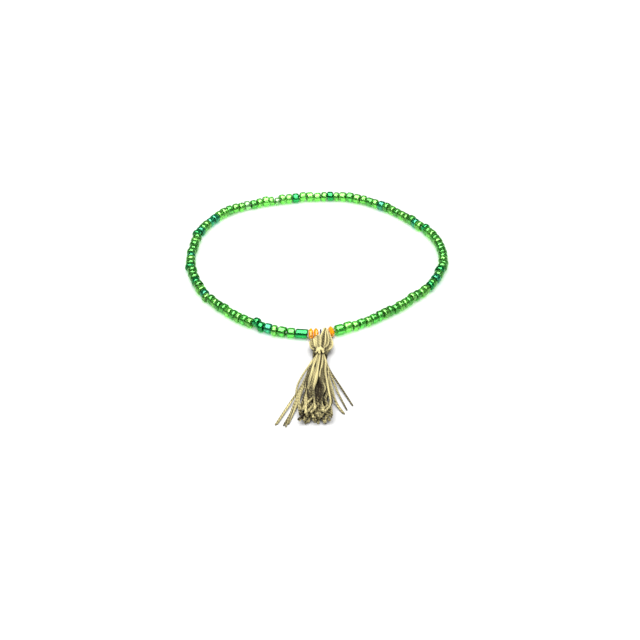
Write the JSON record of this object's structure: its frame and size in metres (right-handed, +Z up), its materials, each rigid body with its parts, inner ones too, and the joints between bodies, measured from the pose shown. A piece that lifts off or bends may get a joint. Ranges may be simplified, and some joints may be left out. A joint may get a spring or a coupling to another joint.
{
  "type": "beaded anklet",
  "caption": "Stretch anklet: a loop of small green glass beads with three faceted amber beads, a jump ring and a cotton tassel at its front, lying flat.",
  "frame": {"origin": "middle of the box seen from above, on the surface that the anklet lies on", "axes": "+Y from the tassel to the back of the loop, +Z up from the surface, +X to the wearer's right of the tassel as seen from above"},
  "size_m": [0.0806, 0.1194, 0.0053],
  "materials": {
    "green_glass": "transparent green seed-bead glass with a soft lustre",
    "amber_glass": "clear orange amber faceted glass",
    "clear_elastic": "clear stretch elastic",
    "plated_wire": "silver-coloured plated wire",
    "cotton_floss": "khaki gold cotton floss with a slight sheen"
  },
  "bodies": {
    "root": {"bead_string": "green_glass", "elastic_cord": "clear_elastic", "amber_bead_1": "amber_glass", "amber_bead_2": "amber_glass", "amber_bead_3": "amber_glass", "jump_ring": "plated_wire", "tassel": "cotton_floss", "tassel_binding": "cotton_floss"}
  },
  "joints": []
}
